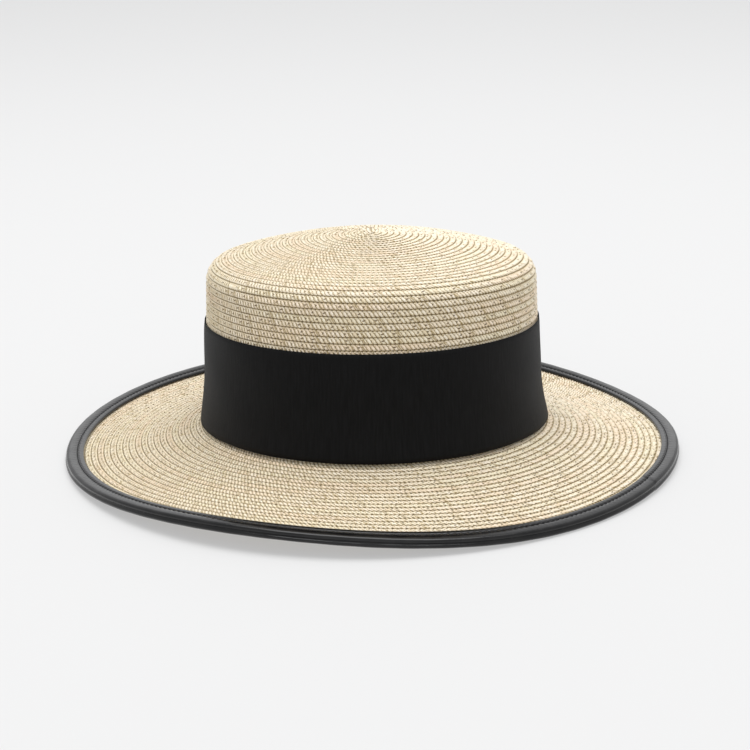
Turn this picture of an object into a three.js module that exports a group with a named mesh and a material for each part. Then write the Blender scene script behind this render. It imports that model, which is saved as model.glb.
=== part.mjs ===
// A straw boater hat: crown and brim of sewn straw braid, a wide ribbon round the crown's foot
// and a leather-look tape folded over the rim.
// Millimetres, +Z up, the front of the hat towards -Y, the rim resting on the ground at z = 0.
import * as THREE from "three";

// Plan: every ring of the hat is an oval that is longer from front to back.
const crownFootHalfWidth = 84.7;
const rimHalfWidth = 153.7;
const ovalLengthening = 13.5;

// Straw
const strawThickness = 1.8;
const clearance = 0.3;

// Crown: heights are measured along its own axis, from the level of the ground.
const headLineHeight = 18.3;
const shoulderHeight = 86;
const crownTaper = 2.6;
const shoulderRadius = 11;
const domeRise = 11.1;
const leanBackDegrees = 2.62;
const crownOffsetRight = 0.7;

// Brim
const rootRadius = 4;
const brimSlopeDegrees = 7.6;
// Halfway out the brim sags this far below a straight slope.
const brimHollow = 2.4;

// Rim wave: each row is a ripple with so many peaks round the rim, the first at an angle from
// the hat's right-hand side towards its back. Heights are shares of the wave height.
const waveHeight = 2;
const waveTable = [
  { peaks: 1, height: 0.46, firstPeakDegrees: 157.2 },
  { peaks: 2, height: 1.31, firstPeakDegrees: 82.1 },
  { peaks: 3, height: 0.65, firstPeakDegrees: -4.9 },
  { peaks: 4, height: 0.48, firstPeakDegrees: -17.1 },
];
// The wave and the rim's own level take over from the leaning crown between the ribbon and the rim.
const waveGrowthPower = 1.4;

// Ribbon
const ribbonWidth = 50.3;
const ribbonThickness = 1;
const ribbonLowerEdgeHeight = 15.8;
const ribbonFlare = 2.6;
const ribbonFlareRight = 0.6;
const ribbonFlareReach = 26;

// Edge tape: folded over the rim, from a flap on the brim to a matching flap underneath.
const tapeFlapWidth = 9;
const tapeHalfHeight = 2.4;
const tapeEdgeCover = 1.4;
// inward: share of the flap width, from the outermost edge. above: share of the half height,
// from the middle of the straw. The rows run from the upper flap round the rim to the lower one.
const tapeSection = [
  { inward: 1.0, above: 0.86 },
  { inward: 0.7, above: 0.9 },
  { inward: 0.645, above: 0.7 },
  { inward: 0.59, above: 0.9 },
  { inward: 0.34, above: 1.08 },
  { inward: 0.13, above: 0.94 },
  { inward: 0.03, above: 0.5 },
  { inward: 0.08, above: 0.12 },
  { inward: 0.0, above: -0.2 },
  { inward: 0.05, above: -0.6 },
  { inward: 0.2, above: -0.94 },
  { inward: 0.45, above: -0.95 },
  { inward: 0.645, above: -0.68 },
  { inward: 0.72, above: -0.86 },
  { inward: 1.0, above: -0.84 },
];

// Steps of the meshes
const turnSegments = 80;
const shoulderSteps = 5;
const domeSteps = 4;
const rootSteps = 4;
const slopeSteps = 5;
const wallSteps = 2;
const ribbonSteps = 3;
// Above 1, the ribbon's rings crowd towards its spreading lower edge.
const ribbonStepGrowth = 1.4;

const leanBack = THREE.MathUtils.degToRad(leanBackDegrees);
const brimSlope = THREE.MathUtils.degToRad(brimSlopeDegrees);
const crownLean = new THREE.Euler(-leanBack, 0, 0);
const strawRimRadius = rimHalfWidth - tapeEdgeCover - clearance;
const tipCornerRadius = crownFootHalfWidth - crownTaper - shoulderRadius;
const waveStartRadius = crownFootHalfWidth + rootRadius;

// Outside of the crown's side wall at a height on its axis.
function wallRadius(height) {
  return crownFootHalfWidth - (crownTaper * height) / shoulderHeight;
}

// Height of the rim's wave at an angle round the hat.
function rimWave(angle) {
  let height = 0;
  for (const row of waveTable) {
    const firstPeak = THREE.MathUtils.degToRad(row.firstPeakDegrees);
    height += waveHeight * row.height * Math.cos(row.peaks * (angle - firstPeak));
  }
  return height;
}

// Place of a profile point on the hat: the oval, then the lean of the crown, which gives way
// to the wavy rim across the brim.
function placeOnHat(radius, height, angle) {
  const ovalShare = Math.min(1, radius / tipCornerRadius);
  const across = radius * Math.cos(angle);
  const along = (radius + ovalLengthening * ovalShare) * Math.sin(angle);
  const leaning = new THREE.Vector3(across + crownOffsetRight, along, height).applyEuler(crownLean);
  const resting = new THREE.Vector3(across, along, height + rimWave(angle));
  const share = (radius - waveStartRadius) / (strawRimRadius - waveStartRadius);
  return leaning.lerp(resting, THREE.MathUtils.clamp(share, 0, 1) ** waveGrowthPower);
}

// A closed body from a profile turned round the hat's axis. widen gives what is added to a
// point's radius at an angle.
function turnedBody(profile, widen = () => 0) {
  const geometry = new THREE.LatheGeometry(profile, turnSegments).rotateX(Math.PI / 2);
  const positions = geometry.attributes.position;
  const point = new THREE.Vector3();
  for (let index = 0; index < positions.count; index += 1) {
    point.fromBufferAttribute(positions, index);
    const angle = Math.atan2(point.y, point.x);
    const radius = Math.hypot(point.x, point.y) + widen(point.z, angle);
    const placed = placeOnHat(radius, point.z, angle);
    positions.setXYZ(index, placed.x, placed.y, placed.z);
  }
  geometry.computeVertexNormals();
  return geometry;
}

// One face of the crown from the head line to the middle of the tip. inset is its depth in the straw.
function crownLine(inset) {
  const points = [];
  for (let step = 0; step < wallSteps; step += 1) {
    const height = THREE.MathUtils.lerp(headLineHeight, shoulderHeight, step / wallSteps);
    points.push(new THREE.Vector2(wallRadius(height) - inset, height));
  }
  const domeEdgeSlope = Math.atan((2 * domeRise) / tipCornerRadius);
  const shoulderTurn = Math.PI / 2 - domeEdgeSlope;
  const arcRadius = shoulderRadius - inset;
  for (let step = 0; step <= shoulderSteps; step += 1) {
    const turn = (shoulderTurn * step) / shoulderSteps;
    const radius = tipCornerRadius + arcRadius * Math.cos(turn);
    points.push(new THREE.Vector2(radius, shoulderHeight + arcRadius * Math.sin(turn)));
  }
  const edge = points[points.length - 1];
  for (let step = 1; step <= domeSteps; step += 1) {
    const share = 1 - step / domeSteps;
    points.push(new THREE.Vector2(edge.x * share, edge.y + domeRise * (1 - share ** 2)));
  }
  return points;
}

// One face of the brim from the head line to the rim. depth is measured down from the upper face.
function brimLine(depth) {
  const points = [];
  const centreRadius = wallRadius(headLineHeight) + rootRadius;
  const centreHeight = headLineHeight - clearance;
  const rootTurn = Math.PI / 2 - brimSlope;
  for (let step = 0; step <= rootSteps; step += 1) {
    const turn = (rootTurn * step) / rootSteps;
    const radius = centreRadius - (rootRadius + depth) * Math.cos(turn);
    points.push(new THREE.Vector2(radius, centreHeight - (rootRadius + depth) * Math.sin(turn)));
  }
  const start = points[points.length - 1];
  for (let step = 1; step <= slopeSteps; step += 1) {
    const share = step / slopeSteps;
    const radius = THREE.MathUtils.lerp(start.x, strawRimRadius, share);
    const fall = (radius - start.x) * Math.tan(brimSlope) + 4 * brimHollow * share * (1 - share);
    points.push(new THREE.Vector2(radius, start.y - fall));
  }
  return points;
}

function crownGeometry() {
  return turnedBody([...crownLine(strawThickness).reverse(), ...crownLine(0)]);
}

function brimGeometry() {
  const upper = brimLine(0);
  const lower = brimLine(strawThickness);
  return turnedBody([...lower, ...upper.reverse(), lower[0]]);
}

// How far the ribbon stands off the crown at a height and angle: its lower edge spreads over
// the brim's root curve, most on the right.
function ribbonSpread(height, angle) {
  const share = 1 - (height - ribbonLowerEdgeHeight) / ribbonFlareReach;
  return (ribbonFlare + ribbonFlareRight * Math.cos(angle)) * THREE.MathUtils.clamp(share, 0, 1) ** 2;
}

function ribbonGeometry() {
  const inner = [];
  const outer = [];
  for (let step = 0; step <= ribbonSteps; step += 1) {
    const height = ribbonLowerEdgeHeight + ribbonWidth * (step / ribbonSteps) ** ribbonStepGrowth;
    const seat = wallRadius(height) + clearance;
    inner.push(new THREE.Vector2(seat, height));
    outer.push(new THREE.Vector2(seat + ribbonThickness, height));
  }
  return turnedBody([...outer, ...inner.reverse(), outer[0]], ribbonSpread);
}

function tapeGeometry() {
  const [beforeEdge, brimEdge] = brimLine(strawThickness / 2).slice(-2);
  const outerEdge = rimHalfWidth - strawRimRadius;
  const outward = brimEdge.clone().sub(beforeEdge).normalize();
  const upward = new THREE.Vector2(-outward.y, outward.x);
  const sectionPoint = (along, above) =>
    brimEdge.clone().addScaledVector(outward, along).addScaledVector(upward, above);
  const flapEnd = outerEdge - tapeFlapWidth;
  const seat = strawThickness / 2 + clearance;
  const profile = [sectionPoint(flapEnd, -seat)];
  for (const row of [...tapeSection].reverse()) {
    profile.push(sectionPoint(outerEdge - tapeFlapWidth * row.inward, tapeHalfHeight * row.above));
  }
  profile.push(sectionPoint(flapEnd, seat));
  profile.push(sectionPoint(clearance, seat));
  profile.push(sectionPoint(clearance, -seat));
  profile.push(profile[0].clone());
  return turnedBody(profile);
}

function piece(name, geometry, color, roughness) {
  const material = new THREE.MeshStandardMaterial({ color, roughness, metalness: 0 });
  const mesh = new THREE.Mesh(geometry, material);
  mesh.name = name;
  return mesh;
}

const hat = new THREE.Group();
hat.name = "straw_boater_hat";
hat.add(piece("crown", crownGeometry(), 0xdfd0b0, 0.75));
hat.add(piece("brim", brimGeometry(), 0xdfd0b0, 0.75));
hat.add(piece("hat_band", ribbonGeometry(), 0x1b1b1d, 0.6));
hat.add(piece("edge_binding", tapeGeometry(), 0x19191a, 0.4));

// The rim's lowest points touch the ground.
hat.position.z = -new THREE.Box3().setFromObject(hat).min.z;

export default hat;
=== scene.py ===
# %% [markdown]
# A straw boater hat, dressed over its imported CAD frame.
# The real hat is one long plait of paper straw, sewn edge over edge in a spiral from the middle
# of the tip, over the shoulder, down the side and out along the brim. A wide ribbon hides the
# crown's foot, and a folded tape closes the rim. The frame brings the four CAD nodes in metres.
# %% Load the frame
import math
import bmesh
import bpy
import numpy as np
from mathutils import Matrix, Vector


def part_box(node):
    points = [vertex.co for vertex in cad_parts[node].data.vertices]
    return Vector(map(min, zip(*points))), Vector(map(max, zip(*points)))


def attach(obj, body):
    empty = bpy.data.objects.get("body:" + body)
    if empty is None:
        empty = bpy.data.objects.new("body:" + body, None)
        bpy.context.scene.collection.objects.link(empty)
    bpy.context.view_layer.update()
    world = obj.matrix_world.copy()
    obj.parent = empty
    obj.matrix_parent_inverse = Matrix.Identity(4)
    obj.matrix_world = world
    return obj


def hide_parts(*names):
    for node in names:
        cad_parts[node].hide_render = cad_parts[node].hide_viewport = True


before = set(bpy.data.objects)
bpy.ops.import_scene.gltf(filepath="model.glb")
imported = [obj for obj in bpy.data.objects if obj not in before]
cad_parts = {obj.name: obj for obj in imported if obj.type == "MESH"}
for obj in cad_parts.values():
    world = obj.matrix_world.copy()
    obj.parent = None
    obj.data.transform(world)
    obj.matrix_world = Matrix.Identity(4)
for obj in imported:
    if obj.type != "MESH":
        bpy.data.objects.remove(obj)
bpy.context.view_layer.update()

# %% [markdown]
# Every ring of the hat is an oval that is longer from front to back. The crown leans back a
# little, and the rim has its own gentle wave. One function places any point of the hat's profile,
# given as a radius and a height, at an angle round the hat, so all the pieces share one form.
# The sizes are those of the CAD part. Only the last step, how far the hat is let down until its
# rim touches the ground, is read from the frame.
# %% The hat's sizes and the place of a profile point
mm = 0.001
crown_foot_half_width = 84.7 * mm
rim_half_width = 153.7 * mm
oval_lengthening = 13.5 * mm
straw_thickness = 1.8 * mm
clearance = 0.3 * mm
head_line_height = 18.3 * mm
shoulder_height = 86 * mm
crown_taper = 2.6 * mm
shoulder_radius = 11 * mm
dome_rise = 11.1 * mm
lean_back = math.radians(2.62)
crown_offset_right = 0.7 * mm
root_radius = 4 * mm
brim_slope = math.radians(7.6)
brim_hollow = 2.4 * mm
wave_height = 2 * mm
wave_table = [
    # peaks round the rim, share of the wave height, angle of the first peak
    (1, 0.46, 157.2),
    (2, 1.31, 82.1),
    (3, 0.65, -4.9),
    (4, 0.48, -17.1),
]
wave_growth_power = 1.4
tape_edge_cover = 1.4 * mm
straw_rim_radius = rim_half_width - tape_edge_cover - clearance
tip_corner_radius = crown_foot_half_width - crown_taper - shoulder_radius
wave_start_radius = crown_foot_half_width + root_radius
# How far the hat is let down to the ground. It is measured once the profile is drawn.
ground_shift = 0.0


def rim_wave(angle):
    waves = [
        share * np.cos(peaks * (angle - math.radians(first_peak)))
        for peaks, share, first_peak in wave_table
    ]
    return wave_height * sum(waves)


def place_on_hat(radius, height, angle, lengthening=None):
    if lengthening is None:
        lengthening = oval_lengthening * np.minimum(1, radius / tip_corner_radius)
    across = radius * np.cos(angle)
    along = (radius + lengthening) * np.sin(angle)
    leaning = [
        across + crown_offset_right,
        along * math.cos(lean_back) + height * math.sin(lean_back),
        height * math.cos(lean_back) - along * math.sin(lean_back),
    ]
    resting = [across, along, height + rim_wave(angle)]
    share = (radius - wave_start_radius) / (straw_rim_radius - wave_start_radius)
    share = np.clip(share, 0, 1) ** wave_growth_power
    place = [a * (1 - share) + b * share for a, b in zip(leaning, resting)]
    place[2] = place[2] + ground_shift
    return np.stack(np.broadcast_arrays(*place), axis=-1)


# %% [markdown]
# The profile is drawn once, from the middle of the tip to the rim: dome, shoulder arc, side wall,
# the small curve at the brim's root, and the slope of the brim. A length along it, counted from
# the tip, is what a hat sewer counts in rows of braid.
# %% The profile from tip to rim
dome_edge_slope = math.atan(2 * dome_rise / tip_corner_radius)
dome_points = 60
shoulder_points = 24
wall_points = 12
root_points = 14
slope_points = 30


def wall_radius(height):
    return crown_foot_half_width - crown_taper * height / shoulder_height


def crown_profile(inset):
    arc_radius = shoulder_radius - inset
    turn = np.linspace(math.pi / 2 - dome_edge_slope, 0, shoulder_points)
    shoulder = [
        tip_corner_radius + arc_radius * np.cos(turn),
        shoulder_height + arc_radius * np.sin(turn),
    ]
    share = np.linspace(0, 1, dome_points)[:-1]
    dome = [shoulder[0][0] * share, shoulder[1][0] + dome_rise * (1 - share**2)]
    wall_height = np.linspace(shoulder_height, head_line_height, wall_points)[1:]
    wall = [wall_radius(wall_height) - inset, wall_height]
    return np.concatenate([dome, shoulder, wall], axis=1)


def brim_profile(depth):
    centre_radius = wall_radius(head_line_height) + root_radius
    centre_height = head_line_height - clearance
    turn = np.linspace(0, math.pi / 2 - brim_slope, root_points)
    root = [
        centre_radius - (root_radius + depth) * np.cos(turn),
        centre_height - (root_radius + depth) * np.sin(turn),
    ]
    share = np.linspace(0, 1, slope_points)[1:]
    slope_radius = root[0][-1] + (straw_rim_radius - root[0][-1]) * share
    fall = (slope_radius - root[0][-1]) * math.tan(brim_slope) + 4 * brim_hollow * share * (1 - share)
    return np.concatenate([root, [slope_radius, root[1][-1] - fall]], axis=1)


outer_crown = crown_profile(0)
ring_angles = np.linspace(0, 2 * math.pi, 181)
dome_rings = place_on_hat(outer_crown[0][:, None], outer_crown[1][:, None], ring_angles[None])
ground_shift = float(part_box("crown")[1][2] - dome_rings[..., 2].max())
print("let down to the ground by", round(ground_shift / mm, 3), "mm")

middle = np.concatenate([crown_profile(straw_thickness / 2), brim_profile(straw_thickness / 2)], axis=1)
profile_length = np.concatenate([[0], np.cumsum(np.hypot(*np.diff(middle, axis=1)))])
crown_points = outer_crown.shape[1]
shoulder_length = profile_length[dome_points + shoulder_points // 2]
head_line_length = profile_length[crown_points - 1]
rim_length = profile_length[-1]
print("profile: shoulder at", round(shoulder_length, 4), "m, head line at", round(head_line_length, 4), "m")
print("profile: rim at", round(rim_length, 4), "m")

# %% [markdown]
# The braid runs along one spiral, a row's pitch further out at each turn. An oval tip can't start
# as a round coil: the sewer folds the first turns round a short straight stretch, so the first
# rows here are long ovals that grow rounder outwards. Each path point keeps the way across the
# braid and the way out of the straw, which the plait needs to lie flat.
# %% The spiral that the braid follows
row_pitch = 3.1 * mm
first_turn_offset = 0.6 * mm
last_row_inset = 3.6 * mm
tip_start_power = 3
# The dome ends just inside the shoulder's first point.
dome_end_share = 0.999
dome_edge_radius, dome_edge_height = crown_profile(straw_thickness / 2)[:, dome_points - 1]
tip_stretch = (tip_corner_radius + oval_lengthening) / tip_corner_radius
# Turns between the points that the spiral is first measured with.
turn_sampling = 0.0008
# A small turn in radians and a small length, to look ahead, behind, inwards and outwards.
nudge = 0.004
reach = 1.2 * mm


def straw_point(length, angle):
    radius = np.interp(length, profile_length, middle[0])
    height = np.interp(length, profile_length, middle[1])
    roundness = np.clip(1 - radius / tip_corner_radius, 0, 1) ** tip_start_power
    lengthening = oval_lengthening * (1 - roundness)
    dome_radius = np.hypot(
        radius * np.cos(angle), (radius + lengthening) * np.sin(angle) / tip_stretch
    )
    dome_height = dome_edge_height + dome_rise * (1 - (dome_radius / dome_edge_radius) ** 2)
    height = np.where(radius < tip_corner_radius * dome_end_share, dome_height, height)
    return place_on_hat(radius, height, angle, lengthening)


def unit(vectors):
    return vectors / np.linalg.norm(vectors, axis=-1, keepdims=True)


def run_of(points):
    """Length along a line of points, counted from its first one."""
    steps = np.linalg.norm(np.diff(points, axis=0), axis=1)
    return np.concatenate([[0], np.cumsum(steps)])


def spiral_path(start, end, step):
    turns = np.arange(start / row_pitch, end / row_pitch, turn_sampling)
    angle = 2 * math.pi * turns
    length = row_pitch * turns
    run = run_of(straw_point(length, angle))
    angle = np.interp(np.arange(0, run[-1], step), run, angle)
    length = row_pitch * angle / (2 * math.pi)
    ahead = straw_point(length + row_pitch * nudge / (2 * math.pi), angle + nudge)
    behind = straw_point(length - row_pitch * nudge / (2 * math.pi), angle - nudge)
    forward = unit(ahead - behind)
    points = straw_point(length, angle)
    outer, inner = straw_point(length + reach, angle), straw_point(length - reach, angle)
    out = unit(np.cross(outer - inner, forward))
    across = np.cross(forward, out)
    bend = ((outer + inner - 2 * points) * out).sum(axis=1) / (2 * reach**2)
    return points, across, out, bend


# %% [markdown]
# The plait itself is three flat strands that swing from edge to edge and pass over and under each
# other. That rule is what Geometry Nodes are good at: the path is copied once for each strand, its
# points are swung across by a sine and up and down by one of twice the pace. These helpers keep
# the trees short: they add a node, join it up, and turn a tree's result into a mesh of its own.
# %% Small helpers for node trees
def add_node(tree, kind, **settings):
    node = tree.nodes.new(kind)
    for name, value in settings.items():
        setattr(node, name, value)
    return node


def join(tree, source, target):
    if hasattr(source, "is_output"):
        tree.links.new(source, target)
    else:
        target.default_value = source


def calculate(tree, operation, first, second=0.0, kind="ShaderNodeMath"):
    node = add_node(tree, kind, operation=operation)
    join(tree, first, node.inputs[0])
    if len(node.inputs) > 1 and node.inputs[1].enabled:
        join(tree, second, node.inputs[1])
    return node.outputs[0]


def scaled(tree, vector, factor):
    node = add_node(tree, "ShaderNodeVectorMath", operation="SCALE")
    join(tree, vector, node.inputs[0])
    join(tree, factor, node.inputs["Scale"])
    return node.outputs[0]


def named(tree, name, kind="FLOAT"):
    node = add_node(tree, "GeometryNodeInputNamedAttribute", data_type=kind)
    node.inputs["Name"].default_value = name
    return node.outputs["Attribute"]


def new_tree(name, sizes):
    tree = bpy.data.node_groups.new(name, "GeometryNodeTree")
    tree.interface.new_socket("Geometry", in_out="INPUT", socket_type="NodeSocketGeometry")
    for label, value in sizes.items():
        kind = "NodeSocketInt" if isinstance(value, int) else "NodeSocketFloat"
        tree.interface.new_socket(label, in_out="INPUT", socket_type=kind).default_value = value
    tree.interface.new_socket("Material", in_out="INPUT", socket_type="NodeSocketMaterial")
    tree.interface.new_socket("Geometry", in_out="OUTPUT", socket_type="NodeSocketGeometry")
    return tree, tree.nodes.new("NodeGroupInput").outputs, tree.nodes.new("NodeGroupOutput").inputs


def finish_tree(tree, geometry, material, result):
    smooth = add_node(tree, "GeometryNodeSetShadeSmooth")
    realize = add_node(tree, "GeometryNodeRealizeInstances")
    paint = add_node(tree, "GeometryNodeSetMaterial")
    tree.links.new(geometry, smooth.inputs["Geometry"])
    tree.links.new(smooth.outputs[0], realize.inputs[0])
    tree.links.new(realize.outputs[0], paint.inputs["Geometry"])
    tree.links.new(material, paint.inputs["Material"])
    tree.links.new(paint.outputs[0], result)


def run_tree(source, tree, name, material, **sizes):
    """Runs a tree on a mesh object and keeps the result as a plain mesh of its own."""
    modifier = source.modifiers.new(name, "NODES")
    modifier.node_group = tree
    for item in tree.interface.items_tree:
        if item.in_out == "INPUT" and item.name == "Material":
            modifier[item.identifier] = material
        if item.in_out == "INPUT" and item.name in sizes:
            modifier[item.identifier] = sizes[item.name]
    evaluated = source.evaluated_get(bpy.context.evaluated_depsgraph_get())
    mesh = bpy.data.meshes.new_from_object(evaluated)
    mesh.name = name
    source.modifiers.remove(modifier)
    piece = bpy.data.objects.new(name, mesh)
    bpy.context.scene.collection.objects.link(piece)
    bpy.data.objects.remove(source)
    triangles = sum(len(face.vertices) - 2 for face in mesh.polygons)
    print(name, "has", triangles, "triangles")
    return piece


# %% [markdown]
# A strand is a straw folded flat, so its section is a low ridge with thin edges, swept along the
# path. Each row also tilts, outer edge up, so it overlaps the next row like a shingle, and it
# bends with the shoulder and with the brim's root. The tree also keeps, for the finish, how far
# each point lies across its row and whether it is on a strand's edge.
# %% The plait's tree
# Waves of the small unevenness in a metre of braid.
wander_pace = 30.0
plait_sizes = {
    "Plait period": 6 * mm,
    "Swing": 1.45 * mm,
    "Crossing height": 0.3 * mm,
    "Row tilt": 0.28 * mm,
    "Strand width": 1.75 * mm,
    "Strand thickness": 0.6 * mm,
    "Wander": 0.15 * mm,
    "Strands": 3,
}
plait, given, result = new_tree("three_strand_plait", plait_sizes)
path = add_node(plait, "GeometryNodeMeshToCurve")
copies = add_node(plait, "GeometryNodeDuplicateElements", domain="SPLINE")
plait.links.new(given["Geometry"], path.inputs[0])
plait.links.new(path.outputs[0], copies.inputs["Geometry"])
plait.links.new(given["Strands"], copies.inputs["Amount"])
strand = copies.outputs["Duplicate Index"]
run = named(plait, "run")
turn_share = calculate(plait, "DIVIDE", strand, given["Strands"])
period_share = calculate(plait, "DIVIDE", run, given["Plait period"])
phase = calculate(plait, "MULTIPLY", calculate(plait, "ADD", period_share, turn_share), 2 * math.pi)
swing = calculate(plait, "SINE", phase)
crossing = calculate(plait, "SINE", calculate(plait, "MULTIPLY", phase, 2.0))
wander = add_node(plait, "ShaderNodeTexNoise", noise_dimensions="1D")
join(plait, calculate(plait, "MULTIPLY", run, wander_pace), wander.inputs["W"])
uneven = calculate(plait, "SUBTRACT", wander.outputs[0], 0.5)
wandering = calculate(plait, "MULTIPLY", uneven, given["Wander"])
sideways = calculate(plait, "ADD", calculate(plait, "MULTIPLY", swing, given["Swing"]), wandering)
weaving = calculate(
    plait,
    "ADD",
    calculate(plait, "MULTIPLY", crossing, given["Crossing height"]),
    calculate(plait, "MULTIPLY", swing, given["Row tilt"]),
)
bending = calculate(plait, "MULTIPLY", named(plait, "bend"), calculate(plait, "POWER", sideways, 2.0))
lift = calculate(plait, "ADD", weaving, bending)
move = add_node(plait, "GeometryNodeSetPosition")
offset = calculate(
    plait,
    "ADD",
    scaled(plait, named(plait, "across", "FLOAT_VECTOR"), sideways),
    scaled(plait, named(plait, "out", "FLOAT_VECTOR"), lift),
    "ShaderNodeVectorMath",
)
plait.links.new(copies.outputs["Geometry"], move.inputs["Geometry"])
plait.links.new(offset, move.inputs["Offset"])
keep_strand = add_node(plait, "GeometryNodeStoreNamedAttribute", data_type="FLOAT", domain="POINT")
keep_strand.inputs["Name"].default_value = "strand"
plait.links.new(move.outputs[0], keep_strand.inputs["Geometry"])
plait.links.new(strand, keep_strand.inputs["Value"])
flat = add_node(plait, "GeometryNodeSetCurveNormal")
flat.mode = "FREE"
plait.links.new(keep_strand.outputs[0], flat.inputs["Curve"])
plait.links.new(named(plait, "out", "FLOAT_VECTOR"), flat.inputs["Normal"])

# The section starts as a circle whose points are then set: across the strand and above it. The
# first two corners are its edges.
edge_corners = 2
strand_section = [
    # share of the half width, share of the thickness
    (-1.0, -0.4),
    (1.0, -0.4),
    (0.5, 0.5),
    (-0.5, 0.5),
]
circle = add_node(plait, "GeometryNodeCurvePrimitiveCircle", mode="RADIUS")
circle.inputs["Resolution"].default_value = len(strand_section)
corner_number = add_node(plait, "GeometryNodeInputIndex").outputs[0]
shape = add_node(plait, "GeometryNodeSetPosition")
corner_switch = add_node(plait, "GeometryNodeIndexSwitch", data_type="VECTOR")
while len(corner_switch.index_switch_items) < len(strand_section):
    corner_switch.index_switch_items.new()
plait.links.new(corner_number, corner_switch.inputs["Index"])
half_width = calculate(plait, "MULTIPLY", given["Strand width"], 0.5)
for number, (wide, thick) in enumerate(strand_section):
    corner = add_node(plait, "ShaderNodeCombineXYZ")
    plait.links.new(calculate(plait, "MULTIPLY", half_width, wide), corner.inputs["Y"])
    plait.links.new(calculate(plait, "MULTIPLY", given["Strand thickness"], thick), corner.inputs["X"])
    plait.links.new(corner.outputs[0], corner_switch.inputs[1 + number])
plait.links.new(circle.outputs["Curve"], shape.inputs["Geometry"])
plait.links.new(corner_switch.outputs[0], shape.inputs["Position"])
keep_edge = add_node(plait, "GeometryNodeStoreNamedAttribute", data_type="FLOAT", domain="POINT")
keep_edge.inputs["Name"].default_value = "edge"
plait.links.new(shape.outputs[0], keep_edge.inputs["Geometry"])
plait.links.new(calculate(plait, "LESS_THAN", corner_number, edge_corners - 0.5), keep_edge.inputs["Value"])
sweep = add_node(plait, "GeometryNodeCurveToMesh")
sweep.inputs["Fill Caps"].default_value = True
plait.links.new(flat.outputs[0], sweep.inputs["Curve"])
plait.links.new(keep_edge.outputs[0], sweep.inputs["Profile Curve"])

# Where each mesh point lies across its row, for the sewing dimples and the finish's painted shade.
from_middle = calculate(
    plait,
    "SUBTRACT",
    add_node(plait, "GeometryNodeInputPosition").outputs[0],
    named(plait, "middle", "FLOAT_VECTOR"),
    "ShaderNodeVectorMath",
)
row_place = add_node(plait, "ShaderNodeVectorMath", operation="DOT_PRODUCT")
plait.links.new(from_middle, row_place.inputs[0])
plait.links.new(named(plait, "across", "FLOAT_VECTOR"), row_place.inputs[1])
keep_place = add_node(plait, "GeometryNodeStoreNamedAttribute", data_type="FLOAT", domain="POINT")
keep_place.inputs["Name"].default_value = "row_place"
plait.links.new(sweep.outputs[0], keep_place.inputs["Geometry"])
plait.links.new(row_place.outputs["Value"], keep_place.inputs["Value"])
finish_tree(plait, keep_place.outputs[0], given["Material"], result["Geometry"])
print("plait tree nodes:", len(plait.nodes))

# %% [markdown]
# Paper straw is pale, matt and a little uneven: each strand has lighter and darker stretches where
# the dye took differently. That tone comes from noise along the strand, so it follows the braid,
# and the paper's grain is a fine bump. These helpers build a finish out of such steps.
# %% Small helpers for finishes
def shader(name, base_color, roughness):
    material = bpy.data.materials.new(name)
    material.use_nodes = True
    surface = material.node_tree.nodes["Principled BSDF"]
    surface.inputs["Base Color"].default_value = (*base_color, 1)
    surface.inputs["Roughness"].default_value = roughness
    material.diffuse_color = (*base_color, 1)
    return material, material.node_tree, surface


def attribute(tree, name):
    return add_node(tree, "ShaderNodeAttribute", attribute_name=name).outputs["Fac"]


def ramp(tree, factor, *stops):
    node = add_node(tree, "ShaderNodeValToRGB")
    elements = node.color_ramp.elements
    while len(elements) < len(stops):
        elements.new(0.5)
    for element, (position, color) in zip(elements, stops):
        element.position = position
        element.color = (*color, 1)
    tree.links.new(factor, node.inputs["Fac"])
    return node.outputs["Color"]


def smooth_step(tree, value, low, high):
    node = add_node(tree, "ShaderNodeMapRange", interpolation_type="SMOOTHSTEP")
    tree.links.new(value, node.inputs["Value"])
    node.inputs["From Min"].default_value = low
    node.inputs["From Max"].default_value = high
    return node.outputs["Result"]


def blend_colors(tree, factor, first, second, mode="MIX"):
    node = add_node(tree, "ShaderNodeMix", data_type="RGBA", blend_type=mode)
    join(tree, factor, node.inputs["Factor"])
    for socket, color in ((node.inputs["A"], first), (node.inputs["B"], second)):
        join(tree, color if hasattr(color, "is_output") else (*color, 1), socket)
    return node.outputs["Result"]


def bump(tree, surface, *layers):
    """Stacks bumps of (height, depth in metres, strength) on a surface."""
    normal = None
    for height, depth, strength in layers:
        node = add_node(tree, "ShaderNodeBump")
        node.inputs["Distance"].default_value = depth
        node.inputs["Strength"].default_value = strength
        tree.links.new(height, node.inputs["Height"])
        if normal:
            tree.links.new(normal, node.inputs["Normal"])
        normal = node.outputs[0]
    tree.links.new(normal, surface.inputs["Normal"])


def noise(tree, scale, detail=2.0, vector=None, along=None):
    kind = "1D" if along else "3D"
    node = add_node(tree, "ShaderNodeTexNoise", noise_dimensions=kind)
    node.inputs["Scale"].default_value = scale
    node.inputs["Detail"].default_value = detail
    if along:
        tree.links.new(along, node.inputs["W"])
    else:
        object_place = add_node(tree, "ShaderNodeTexCoord").outputs["Object"]
        tree.links.new(vector or object_place, node.inputs["Vector"])
    return node.outputs[0]


# %% [markdown]
# What makes sewn braid look sewn is its shade, and here that shade is painted into the straw's colour:
# painted shade darkens a strand at its folded edge and where another straw crosses it, and a row where
# the next one lies over it; every stitch leaves a small dimple and a slanted crease, which are bumped
# and also darkened with painted shade. All of these are worked out from the place along the braid and
# across its row, so they stay on the straw wherever the spiral goes.
# %% The straw's finish
straw_spacing = 2 * mm
crossing_lean = 0.7
stitch_length = 5.4 * mm
# The painted shade of a row reaches this far up, where the next row's edge lies over it.
tuck_start = -0.95 * mm
tuck_end = -0.42 * mm
dimple_row_place = 0.5 * mm
dimple_radius = 0.52 * mm
slant_half_width = 0.25 * mm
slant_lean = 0.8
# Places in a stitch's length, and how unevenly the sewer set them.
dimple_share = 0.2
slant_share = 0.6
stitch_jitter = 0.12
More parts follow.
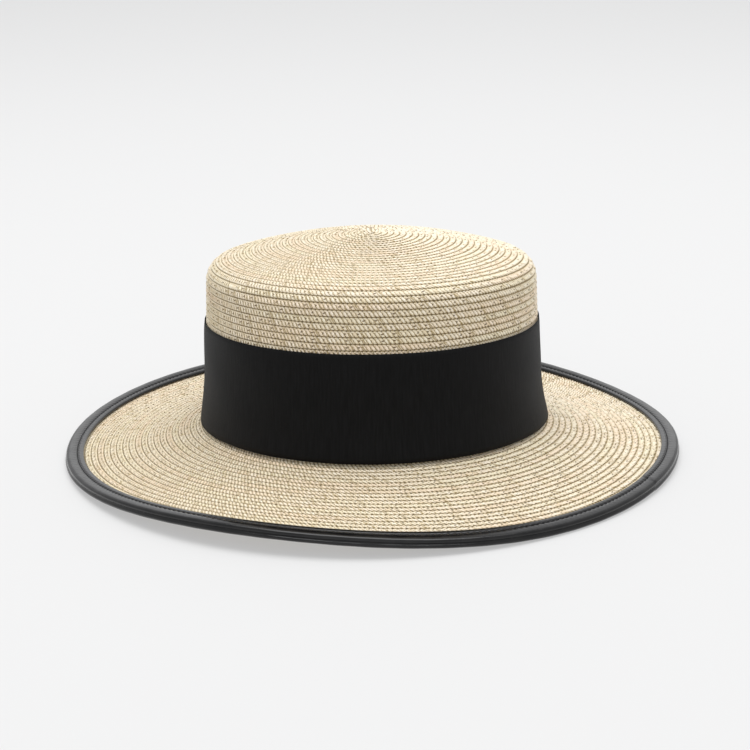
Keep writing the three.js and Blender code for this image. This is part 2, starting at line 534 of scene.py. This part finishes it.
# Each strand takes its tone from another stretch of the same noise, this many metres on.
strand_tone_shift = 17.0
# Painted shade colours for the braid: strand edges, straw crossings, the part under the next row, stitch
# creases and dimples.
strand_edge_shade_color = (0.33, 0.24, 0.11)
crossing_shade_color = (0.44, 0.33, 0.17)
tuck_shade_deep = (0.12, 0.08, 0.03)
tuck_shade_pale = (0.42, 0.32, 0.16)
crease_shade_color = (0.46, 0.35, 0.17)
dimple_shade_color = (0.20, 0.14, 0.07)


def scaled_place(tree, factor):
    return calculate(tree, "MULTIPLY", attribute(tree, "row_place"), factor)


straw, tree, surface = shader("paper_straw", (0.82, 0.70, 0.50), 0.6)
run_along = attribute(tree, "run")
strand_shift = calculate(tree, "MULTIPLY", attribute(tree, "strand"), strand_tone_shift)
along_strand = calculate(tree, "ADD", run_along, strand_shift)
tone = ramp(
    tree,
    noise(tree, 160.0, 3.0, along=along_strand),
    (0.3, (0.80, 0.68, 0.49)),
    (0.45, (0.87, 0.765, 0.59)),
    (0.7, (0.93, 0.845, 0.70)),
)
tint = ramp(
    tree,
    noise(tree, 9.0, 1.0, along=run_along),
    (0.35, (1.0, 0.95, 0.92)),
    (0.5, (1.0, 1.0, 1.0)),
    (0.65, (0.99, 1.0, 0.96)),
)
fibre_color = blend_colors(tree, 1.0, tone, tint, "MULTIPLY")
# Painted shade at each strand's folded edge.
edge_shade_mask = smooth_step(tree, attribute(tree, "edge"), 0.15, 0.8)
edge_shaded = blend_colors(tree, edge_shade_mask, fibre_color, strand_edge_shade_color)
straw_count = calculate(
    tree,
    "DIVIDE",
    calculate(tree, "SUBTRACT", run_along, scaled_place(tree, crossing_lean)),
    straw_spacing,
)
from_straw_middle = calculate(tree, "SUBTRACT", calculate(tree, "FRACT", straw_count), 0.5)
straw_share = calculate(tree, "ABSOLUTE", from_straw_middle)
# Painted shade between straws, where one crosses another.
between_straws = smooth_step(tree, straw_share, 0.04, 0.22)
crossing_shaded = blend_colors(tree, between_straws, crossing_shade_color, edge_shaded)
# Painted shade on each row where the next row lies over it, broken into dashes by the straws.
tuck_shade_mask = smooth_step(tree, attribute(tree, "row_place"), tuck_start, tuck_end)
bean_shade = smooth_step(tree, straw_share, 0.1, 0.34)
tuck_shade_color = blend_colors(tree, bean_shade, tuck_shade_deep, tuck_shade_pale)
tuck_shaded = blend_colors(tree, tuck_shade_mask, tuck_shade_color, crossing_shaded)
stitch_count = calculate(tree, "DIVIDE", run_along, stitch_length)
stitch_number = calculate(tree, "FLOOR", stitch_count)
unevenness = add_node(tree, "ShaderNodeTexWhiteNoise", noise_dimensions="1D")
tree.links.new(stitch_number, unevenness.inputs["W"])
jitter = calculate(tree, "MULTIPLY", unevenness.outputs["Value"], stitch_jitter)
row_depth = calculate(tree, "SUBTRACT", attribute(tree, "row_place"), dimple_row_place)


def distance_from_mark(share, lean):
    """How far a place is from the middle of a mark that comes once in every stitch."""
    beyond = calculate(tree, "SUBTRACT", calculate(tree, "FRACT", stitch_count), share)
    along_row = calculate(tree, "MULTIPLY", calculate(tree, "SUBTRACT", beyond, jitter), stitch_length)
    return calculate(tree, "SUBTRACT", along_row, calculate(tree, "MULTIPLY", row_depth, lean))


dimple_along = distance_from_mark(dimple_share, 0.0)
squares = [calculate(tree, "POWER", value, 2.0) for value in (dimple_along, row_depth)]
dimple_distance = calculate(tree, "SQRT", calculate(tree, "ADD", *squares))
dimple = smooth_step(tree, dimple_distance, 0.4 * dimple_radius, dimple_radius)
slant_distance = calculate(tree, "ABSOLUTE", distance_from_mark(slant_share, slant_lean))
slant = smooth_step(tree, slant_distance, 0.3 * slant_half_width, slant_half_width)
# Painted shade in each stitch's slanted crease and dimple; the same marks are also bumped.
crease_shaded = blend_colors(tree, slant, crease_shade_color, tuck_shaded)
tone_and_painted_shade = blend_colors(tree, dimple, dimple_shade_color, crease_shaded)
unmarked = calculate(tree, "MULTIPLY", dimple, slant)
tree.links.new(tone_and_painted_shade, surface.inputs["Base Color"])
bump(
    tree,
    surface,
    (noise(tree, 2600.0), 0.1 * mm, 0.25),
    (unmarked, 0.3 * mm, 0.8),
)

# %% [markdown]
# The spiral is cut into pieces of under 200,000 triangles: the tip, the side above the ribbon, the
# side behind the ribbon, and three belts of the brim. Behind the ribbon the braid is only seen from
# inside the crown, so its steps are longer.
# %% The rows of braid
ribbon_width = 50.3 * mm
ribbon_lower_edge_height = 15.8 * mm
# The side's last row runs down behind the ribbon's upper edge by this much.
rows_behind_ribbon = 3.2 * mm
foot_height = ribbon_lower_edge_height + ribbon_width - head_line_height - rows_behind_ribbon
foot_start_length = head_line_length - foot_height
# The oval tip spreads its rows a little, so its strands are pressed wider.
tip_strand_width = 2.25 * mm
# A belt runs on into the next one by this share of a row, so no seam shows.
belt_overlap_share = 0.02
brim_width = rim_length - last_row_inset - head_line_length
brim_cuts = [head_line_length + brim_width * share for share in (0, 0.4, 0.72, 1)]
belts = [
    # piece, CAD node, start and end along the profile, steps in a plait period
    ("crown_tip_rows", "crown", first_turn_offset, shoulder_length, 6),
    ("crown_side_rows", "crown", shoulder_length, foot_start_length, 6),
    ("crown_foot_rows", "crown", foot_start_length, head_line_length, 4),
    ("brim_inner_rows", "brim", brim_cuts[0], brim_cuts[1], 5),
    ("brim_middle_rows", "brim", brim_cuts[1], brim_cuts[2], 5),
    ("brim_outer_rows", "brim", brim_cuts[2], brim_cuts[3], 5),
]
for name, cad_node, start, end, steps in belts:
    step = plait_sizes["Plait period"] / steps
    points, across, out, bend = spiral_path(start, end + belt_overlap_share * row_pitch, step)
    count = len(points)
    path_mesh = bpy.data.meshes.new(name + "_path")
    path_mesh.from_pydata(points.tolist(), [(i, i + 1) for i in range(count - 1)], [])
    for label, values in (("run", np.arange(count) * step), ("bend", bend)):
        kept = path_mesh.attributes.new(label, "FLOAT", "POINT")
        kept.data.foreach_set("value", values)
    for label, vectors in (("across", across), ("out", out), ("middle", points)):
        kept = path_mesh.attributes.new(label, "FLOAT_VECTOR", "POINT")
        kept.data.foreach_set("vector", vectors.ravel())
    holder = bpy.data.objects.new(name + "_path", path_mesh)
    bpy.context.scene.collection.objects.link(holder)
    strand_width = tip_strand_width if name == "crown_tip_rows" else plait_sizes["Strand width"]
    piece = run_tree(holder, plait, name, straw, **{"Strand width": strand_width})
    print("  length of braid", round(count * step, 2), "m")
    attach(piece, "root")
    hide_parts(cad_node)

# %% [markdown]
# The ribbon is one woven strip, pulled round the crown's foot and lapped on itself at the back,
# where its free end stands off a little. It spreads over the brim's root at its lower edge. As a
# strip with a measured length it is a grid of points: along the ribbon and up its width. The
# weave is fine upright ribs, so it is left to a bump that follows the strip's UV map.
# %% The ribbon
# The cloth itself is thinner than the solid that stands for it.
ribbon_thickness = 0.5 * mm
ribbon_flare = 2.6 * mm
ribbon_flare_right = 0.6 * mm
ribbon_flare_reach = 26 * mm
ribbon_seat = 0.35 * mm
lap_start = math.radians(78)
lap_turn = math.radians(13)
# The strip steps over its own start in this turn, by this much.
step_over_turn = math.radians(3)
step_over_height = 0.62 * mm
# Past the sewn share of the lap the free end stands off, most at its lower edge.
sewn_share = 0.2
loose_height = 0.9 * mm
loose_lower_share = 1.1
# The cloth's slight unevenness: two crossing waves round the crown, the first one slanted.
ripple_height = 0.18 * mm
ripple_peaks = (3, 7)
ripple_slant = 9
# The strip thins towards its edges: its share of the thickness there, and how fast it grows.
edge_thickness_share = 0.55
edge_growth = 8
along_steps = 620
up_steps = 22


def ribbon_point(turn, height, side):
    angle = lap_start + turn
    spread_share = np.clip(1 - (height - ribbon_lower_edge_height) / ribbon_flare_reach, 0, 1)
    spread = (ribbon_flare + ribbon_flare_right * np.cos(angle)) * spread_share**2
    into_lap = turn - 2 * math.pi
    over = np.clip((into_lap + step_over_turn) / step_over_turn, 0, 1)
    free_turn = into_lap - sewn_share * lap_turn
    loose_end = np.clip(free_turn / ((1 - sewn_share) * lap_turn), 0, 1) ** 2
    height_share = (height - ribbon_lower_edge_height) / ribbon_width
    ripple = ripple_height * np.sin(ripple_peaks[0] * angle + ripple_slant * height_share)
    ripple = ripple * np.sin(ripple_peaks[1] * angle)
    stand_off = over * step_over_height + loose_end * (loose_lower_share - height_share) * loose_height
    seat = wall_radius(height) + ribbon_seat
    radius = seat + spread + stand_off + ripple + side * ribbon_thickness
    return place_on_hat(radius, height, angle)


turns = np.linspace(0, 2 * math.pi + lap_turn, along_steps + 1)
up_shares = np.linspace(0, 1, up_steps + 1)
heights = ribbon_lower_edge_height + ribbon_width * up_shares
edge_distance = np.minimum(up_shares, up_shares[::-1])
edge_roll = np.minimum(1, edge_growth * edge_distance + edge_thickness_share)
outer_face = ribbon_point(turns[:, None], heights[None], edge_roll[None])
inner_face = ribbon_point(turns[:, None], heights[None], 1 - edge_roll[None])
middle_line = ribbon_point(turns, ribbon_lower_edge_height + ribbon_width / 2, 0.5)
ribbon_length = float(np.linalg.norm(np.diff(middle_line, axis=0), axis=1).sum())
print("ribbon length", round(ribbon_length, 4), "m")


def grid_mesh(name, points, closed_along, closed_across):
    """A mesh from a grid of points, with a UV map of how far along and across each face lies."""
    rows_count, columns_count = points.shape[:2]
    mesh = bpy.data.meshes.new(name)
    across_steps = columns_count if closed_across else columns_count - 1
    along = np.arange(rows_count if closed_along else rows_count - 1)
    i, j = np.meshgrid(along, np.arange(across_steps), indexing="ij")
    corners = [(i, j), (i + 1, j), (i + 1, j + 1), (i, j + 1)]
    quads = np.stack([(a % rows_count) * columns_count + b % columns_count for a, b in corners], -1)
    shares = np.stack([np.stack([a / rows_count, b / across_steps], -1) for a, b in corners], -2)
    quads, shares = quads.reshape(-1, 4), shares.reshape(-1, 4, 2)
    mesh.from_pydata(points.reshape(-1, 3).tolist(), [], quads.tolist())
    uv = mesh.uv_layers.new(name="strip")
    uv.data.foreach_set("uv", shares.ravel())
    mesh.shade_smooth()
    piece = bpy.data.objects.new(name, mesh)
    bpy.context.scene.collection.objects.link(piece)
    return piece


loop = np.concatenate([outer_face, inner_face[:, ::-1]], axis=1)
ribbon = grid_mesh("ribbon_strip", loop, closed_along=False, closed_across=True)
end_ring = list(range(loop.shape[1]))
last_ring = [len(turns) * loop.shape[1] - 1 - k for k in end_ring]


def close_ends(piece, rings):
    """Closes a strip's ends, given as rings of point numbers, and turns all the faces outwards."""
    work = bmesh.new()
    work.from_mesh(piece.data)
    work.verts.ensure_lookup_table()
    for ring in rings:
        for k in range(len(ring) // 2 - 1):
            corners = [ring[k], ring[k + 1], ring[-2 - k], ring[-1 - k]]
            work.faces.new([work.verts[corner] for corner in corners])
    bmesh.ops.recalc_face_normals(work, faces=work.faces)
    work.to_mesh(piece.data)
    work.free()


close_ends(ribbon, [end_ring, last_ring])
print("ribbon triangles", 2 * len(ribbon.data.polygons))

# %% [markdown]
# The ribbon is a ribbed weave with fine upright ribs and soft streaks along its length. Both
# follow the strip's UV map, so they turn with it round the crown. The black is deep and dull, with
# only a faint sheen.
# %% The ribbon's weave
rib_spacing = 0.62 * mm
rib_count = ribbon_length / rib_spacing
weave, tree, surface = shader("black_grosgrain", (0.006, 0.006, 0.006), 0.6)
strip = add_node(tree, "ShaderNodeUVMap", uv_map="strip").outputs[0]
strip_parts = add_node(tree, "ShaderNodeSeparateXYZ")
tree.links.new(strip, strip_parts.inputs[0])
rib_phase = calculate(tree, "MULTIPLY", strip_parts.outputs["X"], 2 * math.pi * rib_count)
ribs = calculate(tree, "SINE", rib_phase)
stretched = add_node(tree, "ShaderNodeMapping")
stretched.inputs["Scale"].default_value = (700, 9, 1)
tree.links.new(strip, stretched.inputs["Vector"])
streaks = noise(tree, 1.0, 3.0, vector=stretched.outputs[0])
weave_color = ramp(tree, streaks, (0.35, (0.003, 0.003, 0.003)), (0.7, (0.006, 0.006, 0.0065)))
tree.links.new(weave_color, surface.inputs["Base Color"])
surface.inputs["Sheen Weight"].default_value = 0.03
surface.inputs["Sheen Roughness"].default_value = 0.35
surface.inputs["Specular IOR Level"].default_value = 0.1
bump(tree, surface, (ribs, 0.06 * mm, 0.5), (streaks, 0.2 * mm, 0.35))
ribbon.data.materials.append(weave)
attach(ribbon, "root")
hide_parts("hat_band")

# %% [markdown]
# The edge tape is leather-look strip folded over the rim and sewn through both flaps. The seam
# pulls a groove with small puckers, the outer strip puffs up, and under the rim's lip the fold
# forms a lower bead. Its ends lap at the front right in a slanted step. A sweep of one section
# round the rim, with the puckers and the step worked out by waves, gives all of that.
# %% The edge tape
tape_flap_width = 9 * mm
tape_half_height = 2.4 * mm
tape_section = [
    # share of the flap width inwards, share of the half height above the straw's middle
    (1.0, 0.55),
    (0.985, 0.8),
    (0.93, 0.88),
    (0.8, 0.93),
    (0.69, 0.9),
    (0.662, 0.82),
    (0.652, 0.6),
    (0.638, 0.6),
    (0.628, 0.82),
    (0.6, 0.92),
    (0.48, 1.0),
    (0.34, 1.03),
    (0.2, 1.0),
    (0.12, 0.93),
    (0.07, 0.8),
    (0.045, 0.6),
    (0.05, 0.35),
    (0.09, 0.15),
    (0.1, 0.04),
    (0.05, -0.08),
    (0.005, -0.25),
    (0.015, -0.45),
    (0.06, -0.66),
    (0.12, -0.84),
    (0.2, -0.93),
    (0.32, -0.95),
    (0.45, -0.94),
    (0.59, -0.86),
    (0.635, -0.66),
    (0.655, -0.66),
    (0.7, -0.84),
    (0.85, -0.88),
    (0.97, -0.84),
    (1.0, -0.58),
]
tape_stitch_length = 3.0 * mm
tape_lap_angle = math.radians(-30)
tape_steps = 1150
# The seam: its share of the flap width, and the puckers that its stitches pull.
seam_share = 0.645
pucker_height = 0.15 * mm
pucker_reach = 1.3 * mm
pucker_slant = 260
# The tape's slow swelling: two waves round the rim, which die out at the inner edge.
swell_height = 0.06 * mm
swell_peaks = (37, 23)
swell_shift = 3
# The lap: a slanted step that fades out round the rim. Turns are in radians.
lap_height = 0.32 * mm
lap_slant = 0.028
lap_step_turn = 0.006
lap_fade_turn = 0.16
# The tape's inner face: its share of the flap width from the edge and of the half height.
fold_share = 0.21
fold_height_share = 0.42

middle_brim = brim_profile(straw_thickness / 2)
brim_edge = middle_brim[:, -1]
edge_way = unit(middle_brim[:, -1] - middle_brim[:, -4])
edge_up = np.array([-edge_way[1], edge_way[0]])
outer_edge = rim_half_width - straw_rim_radius
rim_angles = np.linspace(0, 2 * math.pi, tape_steps, endpoint=False)
rim_line = place_on_hat(np.full(tape_steps, brim_edge[0]), brim_edge[1], rim_angles)
rim_run = run_of(rim_line)
rim_around = float(rim_run[-1] + np.linalg.norm(rim_line[0] - rim_line[-1]))
stitch_total = round(rim_around / tape_stitch_length)
print("tape length", round(rim_around, 4), "m with", stitch_total, "stitches")


def tape_point(angle, run, inward, above):
    seam_distance = (inward - seam_share) * tape_flap_width
    stitch_phase = 2 * math.pi * run / rim_around * stitch_total
    pucker = np.cos(stitch_phase + pucker_slant * seam_distance)
    pucker = pucker * np.exp(-(seam_distance / pucker_reach) ** 2)
    slow = np.sin(swell_peaks[0] * angle + swell_shift) * np.sin(swell_peaks[1] * angle)
    slow = slow * np.clip(1 - inward, 0, 1)
    lap_place = tape_lap_angle + lap_slant * (inward - 0.5)
    since_lap = (angle - lap_place + math.pi) % (2 * math.pi) - math.pi
    step = np.clip(since_lap / lap_step_turn, 0, 1) * np.exp(-np.clip(since_lap, 0, None) / lap_fade_turn)
    swell = (pucker_height * pucker + swell_height * slow + lap_height * step) * np.sign(above)
    along = outer_edge - tape_flap_width * inward
    up = tape_half_height * above + swell
    radius = brim_edge[0] + along * edge_way[0] + up * edge_up[0]
    height = brim_edge[1] + along * edge_way[1] + up * edge_up[1]
    return place_on_hat(radius, height, angle)


inner_face_rows = [
    (1.0, -fold_height_share),
    (fold_share, -fold_height_share),
    (fold_share, fold_height_share),
    (1.0, fold_height_share),
]
section_rows = [*tape_section, *inner_face_rows]
inward = np.array([row[0] for row in section_rows])[None]
above = np.array([row[1] for row in section_rows])[None]
tape_grid = tape_point(rim_angles[:, None], rim_run[:, None], inward, above)
lowest = tape_grid[..., 2].min()
tape_grid[..., 2] -= min(lowest, 0)
tape = grid_mesh("edge_tape", tape_grid, closed_along=True, closed_across=True)
close_ends(tape, [])
print("tape triangles", 2 * len(tape.data.polygons), "lowest point", round(float(lowest) / mm, 3), "mm")

# %% [markdown]
# Leather-look tape has fine pebbles, a slightly uneven gloss and pulled lines across the fold. The
# pebbles and the gloss come from noise in the piece's own space, the pulled lines from its UV map.
# %% The tape's finish
leather, tree, surface = shader("black_tape_leather", (0.022, 0.022, 0.023), 0.42)
fine = add_node(tree, "ShaderNodeTexVoronoi", feature="DISTANCE_TO_EDGE")
fine.inputs["Scale"].default_value = 1500
tree.links.new(add_node(tree, "ShaderNodeTexCoord").outputs["Object"], fine.inputs["Vector"])
pebbles = smooth_step(tree, fine.outputs["Distance"], 0.0, 0.18)
wear = noise(tree, 160.0, 4.0)
tape_color = ramp(tree, wear, (0.35, (0.005, 0.005, 0.0055)), (0.7, (0.011, 0.0105, 0.0105)))
tree.links.new(tape_color, surface.inputs["Base Color"])
tree.links.new(ramp(tree, wear, (0.3, (0.13,) * 3), (0.7, (0.21,) * 3)), surface.inputs["Roughness"])
surface.inputs["Specular IOR Level"].default_value = 0.36
strip = add_node(tree, "ShaderNodeUVMap", uv_map="strip").outputs[0]
pulled = add_node(tree, "ShaderNodeMapping")
pulled.inputs["Scale"].default_value = (900, 5, 1)
tree.links.new(strip, pulled.inputs["Vector"])
pull_lines = noise(tree, 1.0, 2.0, vector=pulled.outputs[0])
bump(tree, surface, (pebbles, 0.02 * mm, 0.25), (wear, 0.2 * mm, 0.2), (pull_lines, 0.12 * mm, 0.35))
tape.data.materials.append(leather)
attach(tape, "root")
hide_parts("edge_binding")

# %% [markdown]
# The seam's thread shows as short dark stitches lying in the groove. Each is the same small
# capsule, set at even steps along the rim, so Geometry Nodes place them on a line of points.
# %% The seam's stitches
seam_sizes = {"Stitch length": 2.1 * mm, "Thread radius": 0.2 * mm}
seam, given, result = new_tree("seam_stitches", seam_sizes)
points_only = add_node(seam, "GeometryNodeMeshToPoints")
thread = add_node(seam, "GeometryNodeMeshUVSphere")
thread.inputs["Segments"].default_value = 5
thread.inputs["Rings"].default_value = 4
thread.inputs["Radius"].default_value = 1.0
turned = add_node(seam, "FunctionNodeAlignRotationToVector", axis="Z")
placed = add_node(seam, "GeometryNodeInstanceOnPoints")
thread_size = add_node(seam, "ShaderNodeCombineXYZ")
seam.links.new(given["Geometry"], points_only.inputs[0])
seam.links.new(named(seam, "along", "FLOAT_VECTOR"), turned.inputs["Vector"])
seam.links.new(given["Thread radius"], thread_size.inputs["X"])
seam.links.new(given["Thread radius"], thread_size.inputs["Y"])
seam.links.new(calculate(seam, "MULTIPLY", given["Stitch length"], 0.5), thread_size.inputs["Z"])
seam.links.new(points_only.outputs[0], placed.inputs["Points"])
seam.links.new(thread.outputs["Mesh"], placed.inputs["Instance"])
seam.links.new(turned.outputs[0], placed.inputs["Rotation"])
seam.links.new(thread_size.outputs[0], placed.inputs["Scale"])
finish_tree(seam, placed.outputs[0], given["Material"], result["Geometry"])

cotton, tree, surface = shader("black_thread", (0.008, 0.008, 0.009), 0.7)
twist = noise(tree, 3000.0)
bump(tree, surface, (twist, 0.05 * mm, 0.6))
thread_color = ramp(tree, twist, (0.3, (0.005, 0.005, 0.006)), (0.7, (0.02, 0.02, 0.021)))
tree.links.new(thread_color, surface.inputs["Base Color"])
stitch_run = (np.arange(stitch_total) + 0.5) * rim_around / stitch_total
whole_run, whole_turn = np.append(rim_run, rim_around), np.append(rim_angles, 2 * math.pi)
stitch_angle = np.interp(stitch_run, whole_run, whole_turn)
# How high the thread lies, as a share of the tape's half height, above and below.
for side_name, seat in (("upper", 0.70), ("lower", -0.69)):
    stitch_points = tape_point(stitch_angle, stitch_run, seam_share, seat)
    ahead = tape_point(stitch_angle + nudge, stitch_run, seam_share, seat)
    stitch_mesh = bpy.data.meshes.new("seam_points")
    stitch_mesh.from_pydata(stitch_points.tolist(), [], [])
    directions = unit(ahead - stitch_points)
    kept = stitch_mesh.attributes.new("along", "FLOAT_VECTOR", "POINT")
    kept.data.foreach_set("vector", directions.ravel())
    holder = bpy.data.objects.new("seam_points", stitch_mesh)
    bpy.context.scene.collection.objects.link(holder)
    stitches = run_tree(holder, seam, side_name + "_seam_stitches", cotton)
    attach(stitches, "root")

# %% [markdown]
# The floor is a pale sheet that glows a little, as a lit table does, so almost no shadow is left
# under the rim. The light is a bright even studio: a white world, a large soft light above and two
# weaker ones behind and in front. The camera stands where the photo was taken from: in front of
# the hat, a little above it, with a long lens.
# %% Floor, light and camera
floor_reach = 6
floor_corners = [(x * floor_reach, y * floor_reach, 0) for x, y in ((-1, -1), (1, -1), (1, 1), (-1, 1))]
floor_mesh = bpy.data.meshes.new("floor")
floor_mesh.from_pydata(floor_corners, [], [(0, 1, 2, 3)])
floor = bpy.data.objects.new("floor", floor_mesh)
bpy.context.scene.collection.objects.link(floor)
paper, tree, surface = shader("lit_floor_sheet", (0.34, 0.34, 0.34), 0.9)
surface.inputs["Emission Color"].default_value = (1, 1, 1, 1)
surface.inputs["Emission Strength"].default_value = 0.42
floor_mesh.materials.append(paper)

world = bpy.data.worlds.new("studio")
world.use_nodes = True
world.node_tree.nodes["Background"].inputs["Color"].default_value = (0.985, 0.99, 1, 1)
world.node_tree.nodes["Background"].inputs["Strength"].default_value = 0.66
bpy.context.scene.world = world


def soft_light(name, place, aim, size, power):
    lamp = bpy.data.lights.new(name, "AREA")
    lamp.shape = "SQUARE"
    lamp.size = size
    lamp.energy = power
    holder = bpy.data.objects.new(name, lamp)
    holder.location = place
    holder.rotation_euler = (Vector(aim) - Vector(place)).to_track_quat("-Z", "Y").to_euler()
    bpy.context.scene.collection.objects.link(holder)


soft_light("top_light", (0, 0.1, 2.6), (0, 0, 0), 2.2, 58)
soft_light("back_light", (0, 3.4, 1.7), (0, 0, 0.1), 2.4, 8)
soft_light("front_light", (0, -2.8, 1.0), (0, 0, 0), 2.0, 4)

camera_place = Vector((5.409, -937.568, 291.85)) * mm
camera_right = Vector((0.99990625, 0.0000788, -0.01369188))
camera_up = Vector((0.0131868, 0.26368295, 0.96451927))
camera_back = camera_right.cross(camera_up)
camera_data = bpy.data.cameras.new("camera")
camera_data.sensor_width = 36
camera_data.lens = 92.73
camera_data.clip_start = 0.01
camera = bpy.data.objects.new("camera", camera_data)
turning = Matrix((camera_right, camera_up, camera_back)).transposed()
camera.matrix_world = Matrix.Translation(camera_place) @ turning.to_4x4()
bpy.context.scene.collection.objects.link(camera)
bpy.context.scene.camera = camera
bpy.context.scene.view_settings.view_transform = "Standard"
